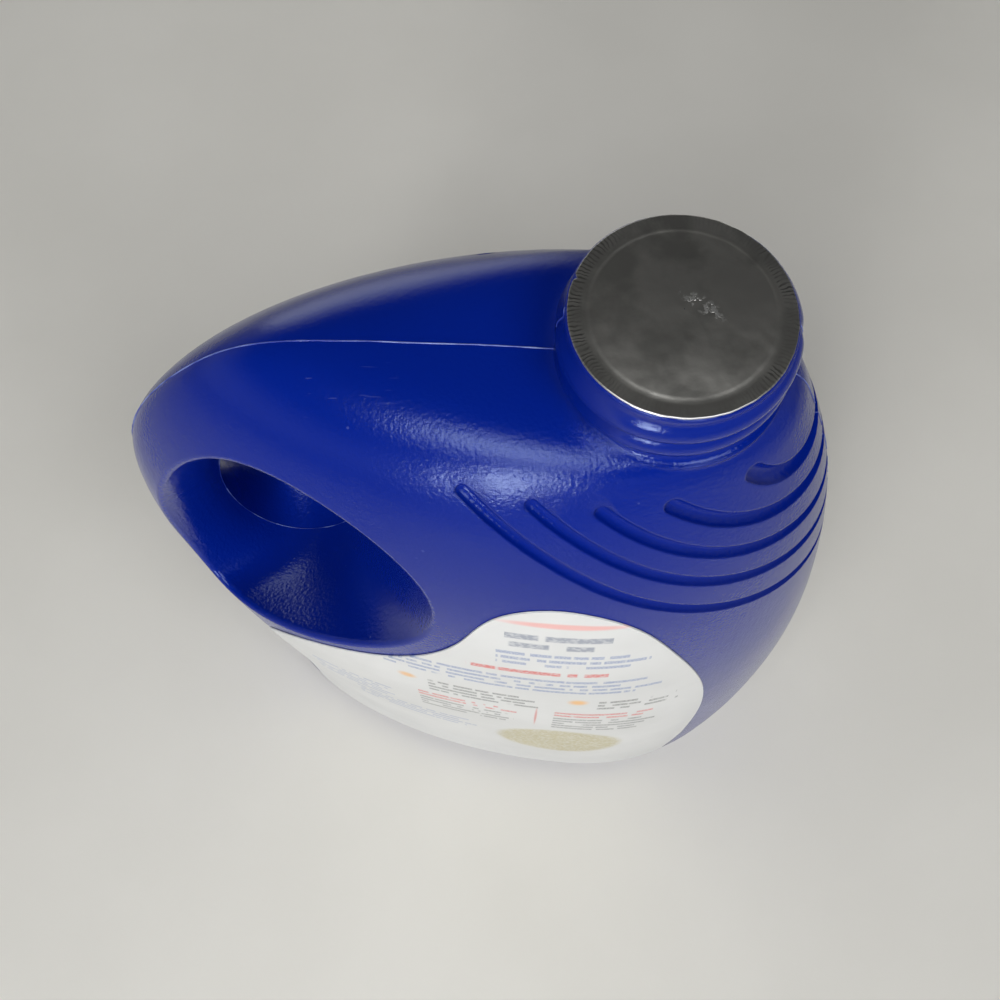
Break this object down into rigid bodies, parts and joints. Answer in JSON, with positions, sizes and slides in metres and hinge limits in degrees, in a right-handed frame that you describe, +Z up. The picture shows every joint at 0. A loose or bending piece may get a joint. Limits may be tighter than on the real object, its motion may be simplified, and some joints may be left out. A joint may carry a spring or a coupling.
{
  "type": "jug bottle",
  "caption": "Blow-moulded jug with an off-centre neck, a through-handle, shoulder grooves and a front label; the mouth is closed by a foil seal.",
  "frame": {"origin": "centre of the footprint, on the ground", "axes": "+Z up along the neck, +X towards the neck end, -Y towards the labelled face"},
  "size_m": [0.2034, 0.109, 0.2689],
  "materials": {
    "blue_hdpe": "satin royal-blue polyethylene with a fine orange-peel grain",
    "seal_foil": "dull dark grey laminated foil",
    "label_film": "smooth white printed film"
  },
  "bodies": {
    "root": {"bottle": "blue_hdpe", "foil_seal": "seal_foil", "label": "label_film"}
  },
  "joints": []
}
